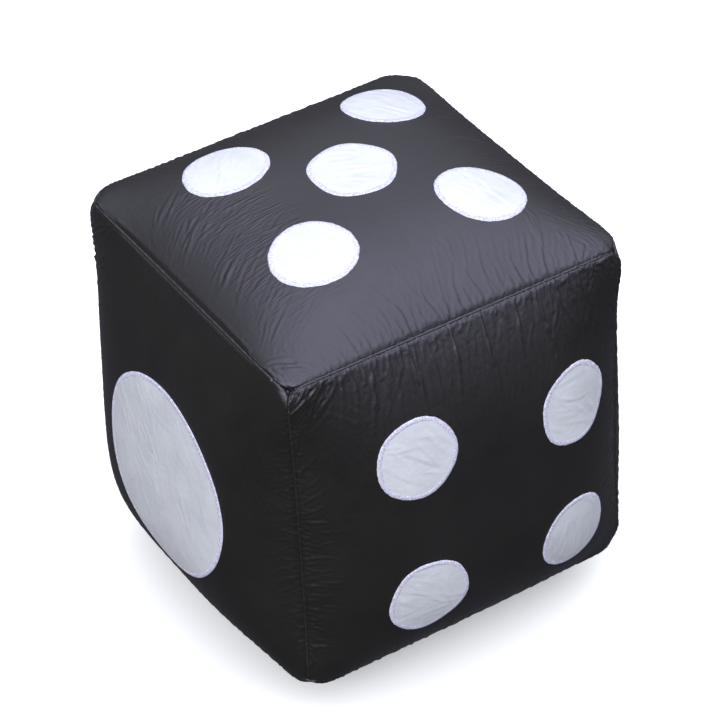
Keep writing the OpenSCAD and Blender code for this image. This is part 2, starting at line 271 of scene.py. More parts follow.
def black_nylon(name="black_nylon", lift=1.0):
    """Shiny tightly woven nylon with fine crinkles and a faintly purple sheen; lift makes its colour less
    black: above 1 it is a painted sheen, as on the seams.
    """
    s = Shader(name, Specular_IOR_Level=0.95, Specular_Tint=(0.80, 0.76, 1.0, 1), Sheen_Weight=0.05,
               Sheen_Roughness=0.4, Sheen_Tint=(0.75, 0.75, 0.95, 1))
    cloth = s.attribute("cloth")
    patches = s.noise(cloth, 9, 4)
    # Above 1, lift lightens the base colour as a painted sheen, as on the seam ridges.
    dark, light = 0.008 * lift, 0.0135 * lift
    tones = ((0.3, (dark, dark, dark * 0.6, 1)), (0.7, (light, light, light * 0.75, 1)))
    s.drive("Base Color", s.ramp(patches, *tones))
    s.drive("Roughness", s.math("MULTIPLY_ADD", s.noise(cloth, 40, 3), 0.12, 0.34))
    crinkle = s.bump(s.noise(cloth, 130, 4, 0.6), 0.0005, 0.5)
    amount = s.node("SeparateXYZ", {0: s.attribute("pucker")})
    for channel, cells, degrees in FINE_LINES:
        lines = s.noise(s.turned(cloth, cells, degrees), 1, 3, 0.5)
        sharp = s.math("ABSOLUTE", s.math("SUBTRACT", lines, 0.5))
        crinkle = s.bump(s.math("MULTIPLY", sharp, amount.outputs[channel]), 0.0024, 1.0, crinkle)
    s.drive("Normal", s.woven(cloth, 0.3, crinkle))
    return s.material


def white_nylon():
    """Thin white nylon: the black cloth under it greys it a little."""
    s = Shader("white_nylon", Roughness=0.5, Specular_IOR_Level=0.45, Sheen_Weight=0.15, Sheen_Roughness=0.5)
    cloth = s.attribute("cloth")
    patches = s.noise(cloth, 22, 4)
    s.drive("Base Color", s.ramp(patches, (0.25, (0.62, 0.64, 0.70, 1)), (0.75, (0.73, 0.75, 0.81, 1))))
    s.drive("Roughness", s.math("MULTIPLY_ADD", patches, 0.12, 0.42))
    bent = s.bump(s.noise(cloth, 80, 5, 0.65), 0.0016, 0.6)
    s.drive("Normal", s.woven(cloth, 0.35, bent))
    return s.material


def satin_thread():
    """Lavender-white embroidery thread: stripes across the stitched ring."""
    s = Shader("satin_thread", Roughness=0.38, Specular_IOR_Level=0.6, Sheen_Weight=0.3, Sheen_Roughness=0.35)
    ring = s.attribute("ring")
    split = s.node("SeparateXYZ", {0: ring})
    slant = s.math("MULTIPLY_ADD", split.outputs[1], 0.35, split.outputs[0])
    strand = s.math("SINE", s.math("MULTIPLY", slant, 2 * math.pi / STRAND_PITCH))
    strand = s.math("MULTIPLY_ADD", strand, 0.5, 0.5)
    shade = s.math("MULTIPLY_ADD", s.noise(s.turned(ring, (1, 0.5, 1)), 420, 2, 0.7), 2.0, -0.5)
    s.drive("Base Color", s.ramp(shade, (0.2, (0.52, 0.51, 0.74, 1)), (0.8, (0.88, 0.88, 0.99, 1))))
    s.drive("Normal", s.bump(strand, 0.00025, 0.7))
    return s.material


def tape_nylon():
    """Matt black woven tape with fine ribs across it."""
    s = Shader("zipper_tape", Roughness=0.75, Specular_IOR_Level=0.3)
    place = s.node("TexCoord").outputs["Object"]
    shade = s.noise(place, 300, 3)
    s.drive("Base Color", s.ramp(shade, (0.3, (0.014, 0.014, 0.0154, 1)), (0.7, (0.02, 0.02, 0.022, 1))))
    ribs = s.node("TexWave", {"Vector": place, "Scale": WAVE_SCALE / TAPE_PITCH, "Distortion": 0.4,
                              "Detail": 1.0}, bands_direction="Z").outputs["Fac"]
    s.drive("Normal", s.bump(ribs, TAPE_PITCH * 0.3, 0.6))
    return s.material


def coil_nylon():
    """Nylon monofilament wound into a row of loops."""
    s = Shader("coil_nylon", Specular_IOR_Level=0.5)
    place = s.node("TexCoord").outputs["Object"]
    shade = s.noise(place, 900, 3)
    s.drive("Base Color", s.ramp(shade, (0.3, grey(0.010)), (0.7, grey(0.022))))
    s.drive("Roughness", s.math("MULTIPLY_ADD", shade, 0.2, 0.28))
    loops = s.node("TexWave", {"Vector": place, "Scale": WAVE_SCALE / COIL_PITCH}, bands_direction="Z")
    s.drive("Normal", s.bump(loops.outputs["Fac"], 0.0008, 0.9, s.bump(shade, 0.00005, 0.5)))
    return s.material


def enamelled_metal():
    """Black enamel over zinc, worn bright on its edges."""
    s = Shader("enamelled_metal")
    place = s.node("TexCoord").outputs["Object"]
    edge = s.node("NewGeometry").outputs["Pointiness"]
    scuffs = s.noise(place, 800, 5, 0.7)
    worn = s.math("GREATER_THAN", s.math("MULTIPLY_ADD", scuffs, 0.25, edge), 0.68)
    s.drive("Base Color", s.ramp(worn, (0.0, grey(0.018)), (1.0, grey(0.42, 0.01))))
    s.drive("Metallic", worn)
    s.drive("Roughness", s.math("MULTIPLY_ADD", scuffs, 0.3, 0.22))
    s.drive("Normal", s.bump(scuffs, 0.00006, 0.5))
    return s.material


def pvc_film():
    """Thin glossy grey-blue vinyl."""
    s = Shader("pvc_film", Specular_IOR_Level=0.55, Coat_Weight=0.3, Coat_Roughness=0.2)
    place = s.node("TexCoord").outputs["Object"]
    haze = s.noise(place, 14, 4)
    s.drive("Base Color", s.ramp(haze, (0.3, (0.42, 0.47, 0.53, 1)), (0.7, (0.56, 0.61, 0.67, 1))))
    s.drive("Roughness", s.math("MULTIPLY_ADD", haze, 0.25, 0.15))
    s.drive("Normal", s.bump(s.noise(place, 120, 4), 0.0006, 0.4))
    return s.material


# ---------------------------------------------------------------- cover: the shape that the bladder gives it

def face_shape(name, s, t):
    """Places and heights on one face for s and t from -1 to 1, as the CAD's cover has them."""
    end = name in ("five", "two")
    swell = END_SWELL if end else SIDE_SWELL * (1 - SIDE_SAG * t)
    bow_s = (EDGE_BOW if end else UPRIGHT_BOW) * (1 - t ** 4)
    bow_t = EDGE_BOW * (1 - s ** 4)
    pull = CORNER_PULL * np.abs(s * t) ** CORNER_POWER
    rise = swell * (1 - np.abs(s) ** SWELL_POWER) * (1 - np.abs(t) ** SWELL_POWER)
    x = HALF * s - bow_s * s ** 3 - pull * np.sign(s)
    y = HALF * t - bow_t * t ** 3 - pull * np.sign(t)
    z = HALF + rise - bow_s * s ** 4 - bow_t * t ** 4 - pull
    return x, y, z


def held_surface(s, t):
    """Points of all six faces where the bladder holds them, never below the floor."""
    faces = []
    for name, (out, across, along) in FACES.items():
        points = np.stack(face_shape(name, s, t), -1) @ np.array((across, along, out))
        points[..., 2] = np.maximum(points[..., 2] + CENTRE_Z, 0)
        faces.append(points)
    return np.stack(faces).astype(np.float32)


def middle_line():
    """The cloth's length across the middle of a face, from s = -1 to each s."""
    s = np.linspace(-1, 1, 4001)
    x, _, z = face_shape("four", s, 0 * s)
    return s, np.concatenate([[0], np.cumsum(np.hypot(np.diff(x), np.diff(z)))])


MIDDLE_S, MIDDLE_LENGTH = middle_line()
CLOTH_SIDE = float(MIDDLE_LENGTH[-1])


def s_of_cloth(u):
    return np.interp((u + 1) / 2 * CLOTH_SIDE, MIDDLE_LENGTH, MIDDLE_S)


def cloth_of_s(s):
    return np.interp(s, MIDDLE_S, MIDDLE_LENGTH) / CLOTH_SIDE * 2 - 1


# ---------------------------------------------------------------- cover: pleats and creases

# How much spare cloth is gathered at each side of each face, as a fraction of the seam's length,
# and how far its pleats reach, in metres. "u-" and "u+" end the first direction across the face,
# "v-" and "v+" the second.
GATHER = {
    "five": {"v-": (0.060, 0.032), "u-": (0.001, 0.014), "v+": (0.040, 0.028), "u+": (0.040, 0.028)},
    "four": {"v+": (0.150, 0.042), "u-": (0.030, 0.016), "v-": (0.050, 0.026), "u+": (0.050, 0.028)},
    "one": {"v+": (0.001, 0.024), "u+": (0.012, 0.016), "v-": (0.050, 0.028), "u-": (0.045, 0.028)},
    "six": {side: (0.060, 0.032) for side in ("u-", "u+", "v-", "v+")},
    "three": {side: (0.060, 0.032) for side in ("u-", "u+", "v-", "v+")},
    "two": {side: (0.040, 0.026) for side in ("u-", "u+", "v-", "v+")},
}
EASE = 0.004             # spare cloth everywhere
CORNER_EASE = 0.030      # more of it round each corner
CORNER_REACH = 0.050
CRISPNESS = 0.40         # how much of the small folds is put back after the cloth has settled
PLEAT_HEIGHT = 0.0072    # for a gather of 1; it grows as the gather's square root
PLEAT_WIDTH = (0.0020, 0.0031)
PLEAT_GAP = (0.0060, 0.0125)
PLEAT_END = 0.005        # how far the first and last pleats are from a seam's ends
PLEAT_SPAN = 0.06        # how far along the seam one pleat can lean
PLEAT_DEPTH = 0.100      # how far from the seam pleats are drawn at all
CREASE_WIDTH = (0.0018, 0.0030)


def side_view(field, side):
    """A face's grid seen from one of its sides: first index along the seam, second away from it."""
    turned = field.swapaxes(0, 1) if side[0] == "u" else field
    return turned[:, ::-1] if side[1] == "+" else turned


def pleat(field, side, step, gather, reach, rng):
    """Puffs cloth up along a seam and cuts it with narrow valleys that lean towards the face's middle."""
    view = side_view(field, side)
    n = view.shape[0] - 1
    deep = int(PLEAT_DEPTH / step)
    away = np.arange(deep)[None, :] * step
    height = PLEAT_HEIGHT * math.sqrt(gather)
    valleys = np.zeros((n + 1, deep))
    place = PLEAT_END
    while place < n * step - PLEAT_END:
        lean = -0.50 * (2 * place / (n * step) - 1) ** 3 + rng.normal(0, 0.15)
        length = reach * rng.uniform(0.35, 1.7)
        low, high = max(0, int((place - PLEAT_SPAN) / step)), min(n + 1, int((place + PLEAT_SPAN) / step))
        off = np.arange(low, high)[:, None] * step - place - lean * away - rng.normal(0, 2.0) * away ** 2
        width = rng.uniform(*PLEAT_WIDTH) + 0.02 * away
        valley = rng.uniform(0.45, 1.0) * np.exp(-(off / width) ** 2 - (away / length) ** 2)
        valleys[low:high] = np.maximum(valleys[low:high], valley)
        place += rng.uniform(*PLEAT_GAP)
    swelling = np.tanh(away / 0.004) * np.exp(-(away / (1.5 * reach)) ** 2)
    view[:, :deep] += height * (swelling * (1 - valleys) - 0.25 * valleys * (away > 0))


def crease(field, step, x, y, angle, length, width, height, bend):
    """One long shallow wrinkle through (x, y) on a face: a ridge with a sharp valley beside it."""
    n = field.shape[0] - 1
    g = (np.arange(n + 1) - n / 2) * step
    dx, dy = g[:, None] - x, g[None, :] - y
    along = dx * math.cos(angle) + dy * math.sin(angle)
    across = dy * math.cos(angle) - dx * math.sin(angle) - bend * along ** 2
    ridge = np.exp(-(across / width) ** 2) - 0.9 * np.exp(-((across - 1.3 * width) / (0.6 * width)) ** 2)
    field += height * ridge * np.exp(-(along / length) ** 4)


# Patches of long creases: face, how many, middle and half size of the patch, angle in degrees,
# half length and height, which then vary from crease to crease
CREASES = [
    ("five", 130, (-0.165, -0.020), (0.055, 0.160), 31, 0.028, 0.0012),
    ("five", 26, (0.040, -0.180), (0.150, 0.035), 66, 0.026, 0.0008),
    ("five", 30, (0.195, 0.040), (0.030, 0.150), 8, 0.026, 0.0010),
    ("five", 24, (0.000, 0.195), (0.170, 0.028), 97, 0.022, 0.0010),
    ("five", 7, (-0.220, -0.222), (0.014, 0.012), -38, 0.020, 0.0070),
    ("four", 9, (-0.215, 0.212), (0.024, 0.026), 54, 0.034, 0.0050),
    ("four", 16, (-0.170, 0.140), (0.050, 0.060), -50, 0.032, 0.0008),
    ("four", 16, (-0.210, -0.060), (0.026, 0.130), 3, 0.018, 0.0008),
    ("four", 16, (0.150, 0.160), (0.070, 0.040), 62, 0.030, 0.0010),
    ("four", 10, (0.000, -0.200), (0.180, 0.030), 92, 0.022, 0.0009),
    ("one", 11, (-0.210, 0.185), (0.028, 0.045), 42, 0.030, 0.0048),
    ("one", 12, (-0.160, 0.120), (0.060, 0.080), 75, 0.036, 0.0008),
    ("one", 10, (0.150, 0.120), (0.060, 0.080), 112, 0.034, 0.0007),
    ("six", 30, (0.0, 0.0), (0.200, 0.200), 85, 0.040, 0.0010),
    ("three", 30, (0.0, 0.0), (0.200, 0.200), 95, 0.040, 0.0010),
    ("two", 12, (0.0, 0.0), (0.220, 0.220), 45, 0.030, 0.0008),
]


def small_folds(n):
    """Heights of the pleats and creases on every face's grid."""
    rng = np.random.default_rng(SEED + 1)
    step = CLOTH_SIDE / n
    fields = np.zeros((6, n + 1, n + 1))
    for face, sides in GATHER.items():
        for side, (gather, reach) in sides.items():
            pleat(fields[FACE_NAMES.index(face)], side, step, gather, reach, rng)
    for face, count, (x, y), (half_x, half_y), degrees, length, height in CREASES:
        field = fields[FACE_NAMES.index(face)]
        for _ in range(count):
            place_x = x + rng.uniform(-half_x, half_x)
            place_y = y + rng.uniform(-half_y, half_y)
            angle = math.radians(degrees + rng.normal(0, 6))
            reach = length * rng.uniform(0.4, 1.2)
            width = rng.uniform(*CREASE_WIDTH)
            tall = height * rng.uniform(0.2, 0.75)
            crease(field, step, place_x, place_y, angle, reach, width, tall, rng.normal(0, 0.4))
    return fields[..., None].astype(np.float32)


# ---------------------------------------------------------------- cover: cloth simulation

def seam_points(n):
    """Which grid points lie on seams, and which of them are sewn to each other."""
    g = np.linspace(-1, 1, n + 1)
    u, v = np.meshgrid(g, g, indexing="ij")
    cube = np.stack([np.array(out) + u[..., None] * np.array(across) + v[..., None] * np.array(along)
                     for out, across, along in FACES.values()])
    border = np.zeros(cube.shape[:3], bool)
    border[:, [0, n], :] = True
    border[:, :, [0, n]] = True
    _, same, count = np.unique(np.round(cube[border] * 4 * n).astype(np.int64), axis=0,
                               return_inverse=True, return_counts=True)
    return border, same.ravel(), count.astype(np.float32)


def sew(points, seams):
    """Brings the points that are sewn together to their mean place."""
    border, same, count = seams
    loose = points[border]
    mean = np.stack([np.bincount(same, loose[:, k], len(count)) / count for k in range(3)], 1)
    points[border] = mean[same]


def normals_of(points):
    """Each grid point's outward normal, from its neighbours on the same face."""
    du, dv = np.empty_like(points), np.empty_like(points)
    du[:, 1:-1] = points[:, 2:] - points[:, :-2]
    du[:, 0], du[:, -1] = points[:, 1] - points[:, 0], points[:, -1] - points[:, -2]
    dv[:, :, 1:-1] = points[:, :, 2:] - points[:, :, :-2]
    dv[:, :, 0], dv[:, :, -1] = points[:, :, 1] - points[:, :, 0], points[:, :, -1] - points[:, :, -2]
    n = np.cross(du, dv)
    return n / (np.sqrt((n * n).sum(-1, keepdims=True)) + 1e-12)


def shared_normals(points, seams):
    """The same, but alike on both sides of a seam."""
    n = normals_of(points)
    sew(n, seams)
    return n / (np.sqrt((n * n).sum(-1, keepdims=True)) + 1e-12)


GROOVE_DEPTH, GROOVE_WIDTH = 0.0020, 0.0042      # along every seam
DIMPLE_DEPTH, DIMPLE_WIDTH = 0.0080, 0.0160      # at every corner
GROUNDED = 0.0002                                # cloth lower than this stays where it is on the floor


class Hold:
    """How the bladder holds a grid of n by n cells on every face, and how long the cloth's threads are."""

    def __init__(self, n):
        g = s_of_cloth(np.linspace(-1, 1, n + 1))
        s, t = np.meshgrid(g, g, indexing="ij")
        self.seams = seam_points(n)
        points = held_surface(s, t)
        out = shared_normals(points, self.seams)
        from_u, from_v = HALF * (1 - np.abs(s)), HALF * (1 - np.abs(t))
        sunk = GROOVE_DEPTH * np.exp(-(np.minimum(from_u, from_v) / GROOVE_WIDTH) ** 2)
        sunk += DIMPLE_DEPTH * np.exp(-(np.hypot(from_u, from_v) / DIMPLE_WIDTH) ** 2)
        points = points - sunk[None, ..., None] * out
        points[..., 2] = np.maximum(points[..., 2], 0)
        self.points, self.out = points.astype(np.float32), out.astype(np.float32)
        self.fixed = self.seams[0] | (self.points[..., 2] < GROUNDED)
        ease_u, ease_v = self.spare(s, t, from_u, from_v)
        self.along_u = self.rest(self.points[:, 1:] - self.points[:, :-1],
                                 (ease_u[:, 1:] + ease_u[:, :-1]) / 2)
        self.along_v = self.rest(self.points[:, :, 1:] - self.points[:, :, :-1],
                                 (ease_v[:, :, 1:] + ease_v[:, :, :-1]) / 2)
        both = ((ease_u + ease_v) / 2)[:, 1:, 1:]
        self.falling = self.rest(self.points[:, 1:, 1:] - self.points[:, :-1, :-1], both)
        self.rising = self.rest(self.points[:, 1:, :-1] - self.points[:, :-1, 1:], both)

    @staticmethod
    def rest(threads, ease):
        """The threads' lengths when they are neither stretched nor squeezed."""
        return (np.linalg.norm(threads, axis=-1, keepdims=True) * (1 + ease[..., None])).astype(np.float32)

    @staticmethod
    def spare(s, t, from_u, from_v):
        """Spare cloth along each direction: gathered at the seams, and a little everywhere."""
        corner = CORNER_EASE * np.exp(-(np.hypot(from_u, from_v) / CORNER_REACH) ** 2)
        ease_u = np.tile(EASE + corner, (6, 1, 1))
        ease_v = ease_u.copy()
        for face, sides in GATHER.items():
            for side, (gather, reach) in sides.items():
                near = (s if side[0] == "u" else t) * (1 if side[1] == "+" else -1) > 0
                distance = from_u if side[0] == "u" else from_v
                excess = gather * np.exp(-distance / reach) * near
                (ease_v if side[0] == "u" else ease_u)[FACE_NAMES.index(face)] += excess
        return ease_u, ease_v


# How fully one step takes out a thread's stretching, and its squeezing: the threads themselves, and
# the slanting lines across the weave
THREAD_PULL = (1, 0.9)
SLANT_PULL = (0.2, 0.12)
# The bladder's push outwards on cloth that is inside it, its pull on cloth that stands off it, and how
# strongly cloth is drawn back to its own place
AIR_IN, AIR_OUT, DRIFT = 0.3, 0.0015, 0.0003
SPEED_KEPT = 0.97


def spring(a, b, rest, stretch, squeeze):
    """Moves the two ends of each thread, a and b, towards its rest length."""
    d = b - a
    length = np.sqrt(np.einsum("...k,...k->...", d, d))[..., None] + 1e-9
    e = (length - rest) / length
    d *= np.where(e > 0, stretch * e, squeeze * e) * 0.5
    a += d
    b -= d


def stiffen(points, amount):
    """Resists bending along both thread directions."""
    for grid in (points, points.transpose(0, 2, 1, 3)):
        bend = (grid[:, :-2] - 2 * grid[:, 1:-1] + grid[:, 2:]) * (amount / 4)
        grid[:, 1:-1] += 2 * bend
        grid[:, :-2] -= bend
        grid[:, 2:] -= bend


def relax(points, hold, steps, bend):
    """Lets the cloth settle on the bladder, stiff inwards and soft outwards, so that spare cloth folds."""
    speed = np.zeros_like(points)
    out = hold.out
    seam_line = hold.points[hold.fixed]
    for _ in range(steps):
        before = points.copy()
        points += speed
        gap = hold.points - points
        inwards = np.einsum("...k,...k->...", gap, out)[..., None]
        points += (np.where(inwards > 0, AIR_IN, AIR_OUT) - DRIFT) * inwards * out + DRIFT * gap
        for odd in (0, 1):
            spring(points[:, odd:-1:2], points[:, odd + 1::2], hold.along_u[:, odd::2], *THREAD_PULL)
            spring(points[:, :, odd:-1:2], points[:, :, odd + 1::2], hold.along_v[:, :, odd::2], *THREAD_PULL)
        for odd in (0, 1):
            spring(points[:, odd:-1:2, :-1], points[:, odd + 1::2, 1:], hold.falling[:, odd::2], *SLANT_PULL)
            spring(points[:, odd:-1:2, 1:], points[:, odd + 1::2, :-1], hold.rising[:, odd::2], *SLANT_PULL)
        stiffen(points, bend)
        np.maximum(points[..., 2], 0, out=points[..., 2])
        points[hold.fixed] = seam_line
        speed = (points - before) * SPEED_KEPT


def finer(points):
    """Twice as fine a grid, with the new points on a smooth curve through the old ones."""
    for axis in (1, 2):
        p = np.moveaxis(points, axis, 0)
        ends = np.concatenate([2 * p[:1] - p[1:2], p, 2 * p[-1:] - p[-2:-1]])
        between = (9 * (p[:-1] + p[1:]) - ends[:-3] - ends[3:]) / 16
        full = np.empty((2 * len(p) - 1, *p.shape[1:]), np.float32)
        full[::2], full[1::2] = p, between
        points = np.moveaxis(full, 0, axis)
    return np.ascontiguousarray(points)


# Grid cells across a face, settling steps, resistance to bending, and the share of the small folds
# that the cloth starts with
STAGES = [(64, 150, 0.02, 0), (128, 160, 0.008, 0.35), (256, 90, 0.003, 0.65)]
ROUGHNESS = 0.0096       # the cloth's first unevenness, metres, over the number of cells


def simulate():
    """Six squares of cloth, sewn together and settled on the bladder, from a coarse grid to a fine one."""
    rng = np.random.default_rng(SEED)
    points = None
    for n, steps, bend, share in (STAGES):
        hold = Hold(n)
        points = hold.points.copy() if points is None else finer(points)
        points += rng.normal(0, ROUGHNESS / n, points.shape).astype(np.float32)
        if share:
            folds = small_folds(n)
            points += share * folds * hold.out
        points[hold.fixed] = hold.points[hold.fixed]
        relax(points, hold, steps, bend)
    sharpened = points + CRISPNESS * folds * hold.out
    sharpened[hold.fixed] = points[hold.fixed]
    return sharpened


# ---------------------------------------------------------------- meshes

def dressed(mesh, material, attributes):
    """Makes a smooth-shaded piece of a mesh, with its material and its coordinates for the material."""
    for key, values in attributes.items():
        made = mesh.attributes.new(key, "FLOAT_VECTOR", "POINT")
        made.data.foreach_set("vector", np.ascontiguousarray(values, np.float32).ravel())
    mesh.update()
    mesh.validate()
    mesh.shade_smooth()
    mesh.materials.append(material)
    piece = bpy.data.objects.new(mesh.name, mesh)
    bpy.context.scene.collection.objects.link(piece)
    return piece


def mesh_piece(name, points, quads, material, attributes):
    """A piece from arrays of points and four-cornered faces."""
    mesh = bpy.data.meshes.new(name)
    mesh.vertices.add(len(points))
    mesh.vertices.foreach_set("co", np.ascontiguousarray(points, np.float32).ravel())
    mesh.loops.add(quads.size)
    mesh.loops.foreach_set("vertex_index", np.ascontiguousarray(quads, np.int32).ravel())
    mesh.polygons.add(len(quads))
    mesh.polygons.foreach_set("loop_start", np.arange(0, quads.size, quads.shape[1], dtype=np.int32))
    return dressed(mesh, material, attributes)


def quads_between(index):
    """Faces between the rows and columns of a grid of point numbers."""
    return np.stack([index[:-1, :-1], index[1:, :-1], index[1:, 1:], index[:-1, 1:]], -1).reshape(-1, 4)


def grid_quads(rows, columns, wrap=False):
    """Faces of a grid of points; wrap joins the last column to the first."""
    index = np.arange(rows * columns).reshape(rows, columns)
    if wrap:
        index = np.concatenate([index, index[:, :1]], 1)
    return quads_between(index)


def joined(parts):
    """Points and faces of several meshes as one."""
    starts = np.cumsum([0] + [len(points) for points, _ in parts])
    quads = [quads + start for (_, quads), start in zip(parts, starts)]
    return np.concatenate([points for points, _ in parts]), np.concatenate(quads)


def ride_cover(piece, node):
    """Fixes a piece to the cover's body, in place of the CAD's node."""
    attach(piece, "cover")
    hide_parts(node)
    return piece


def smooth_grid(grid, times):
    """A calmer copy of a grid of points or normals, for cloth that lies on other cloth."""
    calm = grid.copy()
    for _ in range(times):
        calm[:, 1:-1] = (calm[:, :-2] + 2 * calm[:, 1:-1] + calm[:, 2:]) / 4
        calm[:, :, 1:-1] = (calm[:, :, :-2] + 2 * calm[:, :, 1:-1] + calm[:, :, 2:]) / 4
    return calm


# How strong the fine lines are: everywhere, for each unit of gather beside a seam, and in the
# slanting patch on the five with its middle and half size
LINES_ALL, LINES_GATHER, LINES_SLANT = 0.10, 5, 1.80
SLANT_PLACE, SLANT_SIZE = (-0.145, -0.02), (0.055, 0.15)


class Cover:
    """The finished cloth: points, normals and a way to look up any place on a face."""

    def __init__(self):
        self.points = simulate()
        self.n = self.points.shape[1] - 1
        self.normals = shared_normals(self.points, seam_points(self.n))
        self.calm = smooth_grid(self.points, 6)
        self.calm_out = smooth_grid(self.normals, 12)

    def cloth(self):
        """Each grid point's place on the flat cloth, from the middle of its panel."""
        g = np.linspace(-1, 1, self.n + 1) * CLOTH_SIDE / 2
        return np.meshgrid(g, g, indexing="ij")

    def pucker(self, face):
        """The fine lines' strength: of those on the v seams, those on the u seams, and the slanting ones."""
        u, v = self.cloth()
        amount = np.full((self.n + 1, self.n + 1, 3), (LINES_ALL, LINES_ALL, 0.0))
        for side, (gather, reach) in GATHER[face].items():
            away = CLOTH_SIDE / 2 - (u if side[0] == "u" else v) * (1 if side[1] == "+" else -1)
            channel = 1 if side[0] == "u" else 0
            amount[..., channel] += LINES_GATHER * gather * np.exp(-(away / (1.3 * reach)) ** 2)
        if face == "five":
            off_u, off_v = (u - SLANT_PLACE[0]) / SLANT_SIZE[0], (v - SLANT_PLACE[1]) / SLANT_SIZE[1]
            amount[..., 2] = LINES_SLANT * np.exp(-off_u ** 4 - off_v ** 4)
        return amount

    def look(self, grid, face, x, y):
        """A grid's values at places x, y, in metres from the middle of a face."""
        a = (cloth_of_s(x / HALF) + 1) / 2 * self.n
        b = (cloth_of_s(y / HALF) + 1) / 2 * self.n
        i, j = np.clip(a.astype(int), 0, self.n - 1), np.clip(b.astype(int), 0, self.n - 1)
        f, g = (a - i)[..., None], (b - j)[..., None]
        p = grid[FACE_NAMES.index(face)]
        near = p[i, j] * (1 - f) + p[i + 1, j] * f
        far = p[i, j + 1] * (1 - f) + p[i + 1, j + 1] * f
        return near * (1 - g) + far * g

    def lay(self, face, x, y, lift):
        """Points on the calmed cloth at places x, y, lifted off it but never below the floor."""
        points = self.look(self.calm, face, x, y) + lift[..., None] * self.look(self.calm_out, face, x, y)
        points[..., 2] = np.maximum(points[..., 2], 0)
        return points


# How the cloth turns under beside the zipper: rows of (below the surface, back from the edge), metres
HEM = ((0.0004, -0.0004), (0.0010, -0.0004), (0.0015, 0.0004), (0.0015, 0.0040))


def turned_under(cover, face, points, quads):
    """Cuts a panel back beside the zipper and folds its rim under: the faces, the rim and the fold's rows."""
    n = cover.n
    k = FACE_NAMES.index(face)
    at_end = face == "six"         # the zipper runs along the six's last column and the three's first
    height = cover.points[k][n if at_end else 0, :, 2] - CENTRE_Z
    first, last = np.flatnonzero(np.abs(height) < ZIP_LEN / 2)[[0, -1]]
    inner = int(round((SLOT_HALF + 0.0005) / (CLOTH_SIDE / n)))
    edge = n - inner if at_end else inner
    column, row = np.divmod(quads[:, 0], n + 1)
    beside = column >= edge if at_end else column < edge
    kept = quads[~(beside & (row >= first) & (row < last))]
    rim = edge * (n + 1) + np.arange(first, last + 1)
    out = cover.normals[k].reshape(-1, 3)[rim]
    back = cover.points[k][edge - 2 if at_end else edge + 2, first:last + 1] - points[rim]
    back /= np.linalg.norm(back, axis=1, keepdims=True)
    fold = [points[rim] - down * out + under * back for down, under in HEM]
    new = len(points) + np.arange(len(HEM) * len(rim)).reshape(len(HEM), -1)
    hem = quads_between(np.concatenate([rim[None], new]))
    return np.concatenate([kept, hem if at_end else hem[:, ::-1]]), rim, fold


def panel_piece(cover, face, material):
    """One panel. Beside the zipper its edge is cut back and turned under."""
    n = cover.n
    k = FACE_NAMES.index(face)
    points = cover.points[k].reshape(-1, 3)
    u, v = cover.cloth()
    cloth = np.stack([u, v, np.full_like(u, 0.1 * k)], -1).reshape(-1, 3)
    pucker = cover.pucker(face).reshape(-1, 3)
    quads = grid_quads(n + 1, n + 1)
    if face in ("six", "three"):
        quads, rim, fold = turned_under(cover, face, points, quads)
        points = np.concatenate([points] + fold)
        cloth = np.concatenate([cloth] + [cloth[rim]] * len(fold))
        pucker = np.concatenate([pucker] + [pucker[rim]] * len(fold))
    used, corners = np.unique(quads, return_inverse=True)
    piece = mesh_piece(f"cover_{face}", points[used], corners.reshape(quads.shape), material,
                       {"cloth": cloth[used], "pucker": pucker[used]})
    return ride_cover(piece, f"panel_{face}")


# ---------------------------------------------------------------- pips and their stitching

SPREAD = 0.117
# The pips' middles, in metres from the middle of their face
PATTERNS = {
    "one": [(0.012, -0.020)],
    "two": [(-SPREAD, SPREAD), (SPREAD, -SPREAD)],
    "three": [(-SPREAD, SPREAD), (0, 0), (SPREAD, -SPREAD)],
    "four": [(-0.096, 0.100), (0.144, 0.073), (-0.096, -0.116), (0.134, -0.128)],
    "five": [(-0.108, 0.120), (0.139, 0.133), (0.017, 0.015), (-0.112, -0.097), (0.128, -0.109)],
    "six": [(x, y) for y in (0.142, 0, -0.142) for x in (-0.098, 0.098)],
}


def wobble(angle, rng, size, waves):
    """A closed wavy line: how far a hand-cut rim strays from a circle."""
    total = np.zeros_like(angle)
    for w in waves:
        total += rng.normal(0, size / math.sqrt(len(waves))) * np.cos(w * angle + rng.uniform(0, 2 * math.pi))
    return total


RIM_STRAY = 0.0012       # how far a pip's rim strays from a circle
RIM_WAVES = (2, 3, 5)
RING_STEP = 0.0024       # the grid's step from a pip's middle to its rim
PIP_LIFT, PIP_LIFT_MIN = 0.0011, 0.0005


def wrinkles(px, py, x, y, r, count, rng):
    """Heights of a disc's own shallow wrinkles, which mostly run one way."""
    height = np.zeros_like(px)
    grain = rng.uniform(0, math.pi)
    for _ in range(count):
        ax, ay = x + rng.uniform(-r, r), y + rng.uniform(-r, r)
        turn, width = grain + rng.normal(0, 0.35), rng.uniform(0.0022, 0.0042)
        along = (px - ax) * math.cos(turn) + (py - ay) * math.sin(turn)
        across = (py - ay) * math.cos(turn) - (px - ax) * math.sin(turn) + rng.normal(0, 4) * along ** 2
        ridge = np.exp(-(across / width) ** 2) - 0.7 * np.exp(-((across - 1.4 * width) / (0.7 * width)) ** 2)
        height += rng.uniform(0.0002, 0.0006) * ridge * np.exp(-(along / rng.uniform(0.012, 0.040)) ** 2)
    return height


